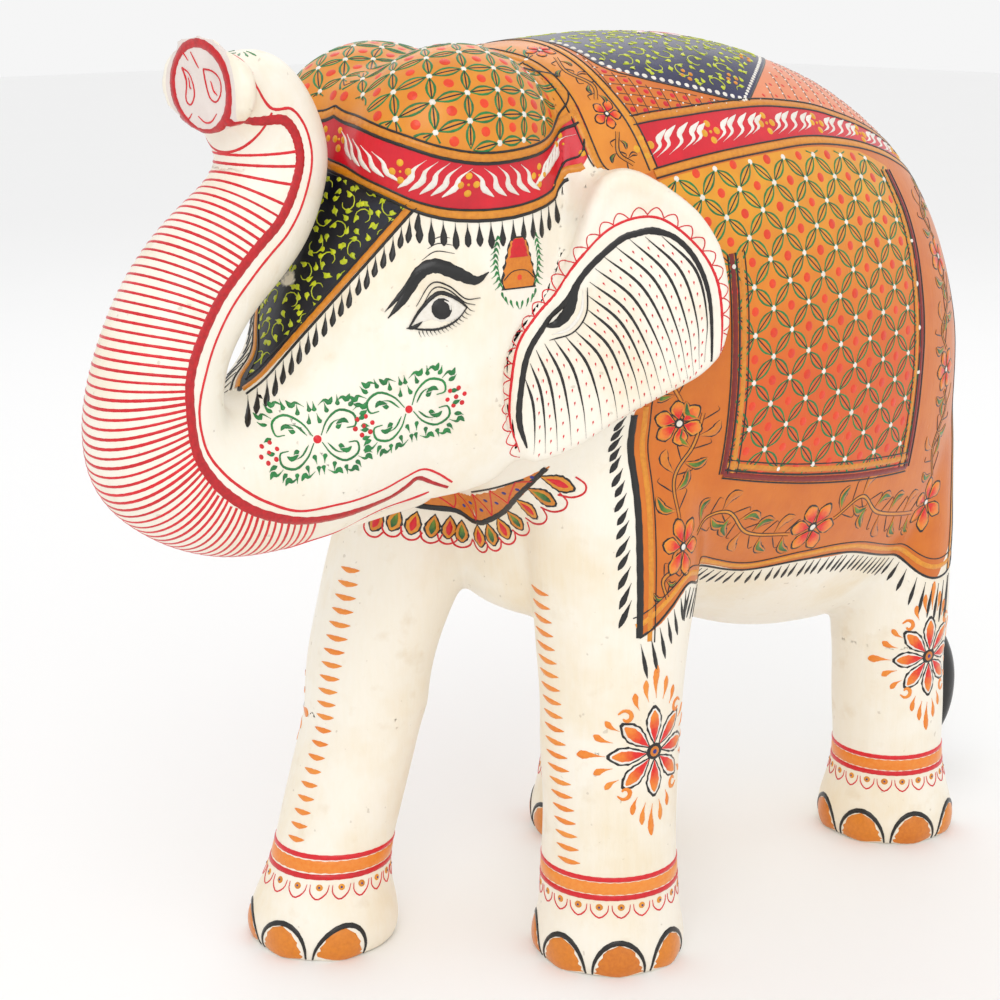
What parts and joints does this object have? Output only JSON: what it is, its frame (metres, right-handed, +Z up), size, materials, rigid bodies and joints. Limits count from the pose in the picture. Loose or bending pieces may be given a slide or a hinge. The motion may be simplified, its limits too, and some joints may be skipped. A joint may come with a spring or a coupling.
{
  "type": "carved wooden elephant figurine",
  "caption": "Hand-carved, painted wooden elephant that walks with its trunk raised, built from doweled blocks; a free-standing display figure.",
  "frame": {"origin": "on the floor under the middle of the figure's bounding box", "axes": "+Z up, +X from the trunk towards the tail, so the elephant faces -X and its own left side is -Y"},
  "size_m": [0.505, 0.2016, 0.3802],
  "materials": {
    "painted_wood": "cream-white gesso ground, brushed, satin varnish",
    "dowel_wood": "bare turned hardwood",
    "orange_paint": "brushed poster colour over the gesso, satin varnish",
    "red_paint": "brushed poster colour over the gesso, satin varnish",
    "gold_paint": "brushed poster colour over the gesso, satin varnish",
    "green_paint": "brushed poster colour over the gesso, satin varnish",
    "navy_paint": "brushed poster colour over the gesso, satin varnish",
    "black_paint": "brushed poster colour over the gesso, satin varnish",
    "white_paint": "brushed poster colour over the gesso, satin varnish"
  },
  "bodies": {
    "root": {"body_block": "painted_wood", "head_block": "painted_wood", "trunk": "painted_wood", "lower_lip": "painted_wood", "left_ear": "painted_wood", "right_ear": "painted_wood", "tail": "painted_wood", "front_left_leg": "painted_wood", "front_right_leg": "painted_wood", "rear_left_leg": "painted_wood", "rear_right_leg": "painted_wood", "neck_dowels": "dowel_wood", "trunk_dowel": "dowel_wood", "lower_lip_dowel": "dowel_wood", "left_ear_dowels": "dowel_wood", "right_ear_dowels": "dowel_wood", "tail_dowel": "dowel_wood", "front_left_leg_dowels": "dowel_wood", "front_right_leg_dowels": "dowel_wood", "rear_left_leg_dowels": "dowel_wood", "rear_right_leg_dowels": "dowel_wood"}
  },
  "joints": []
}
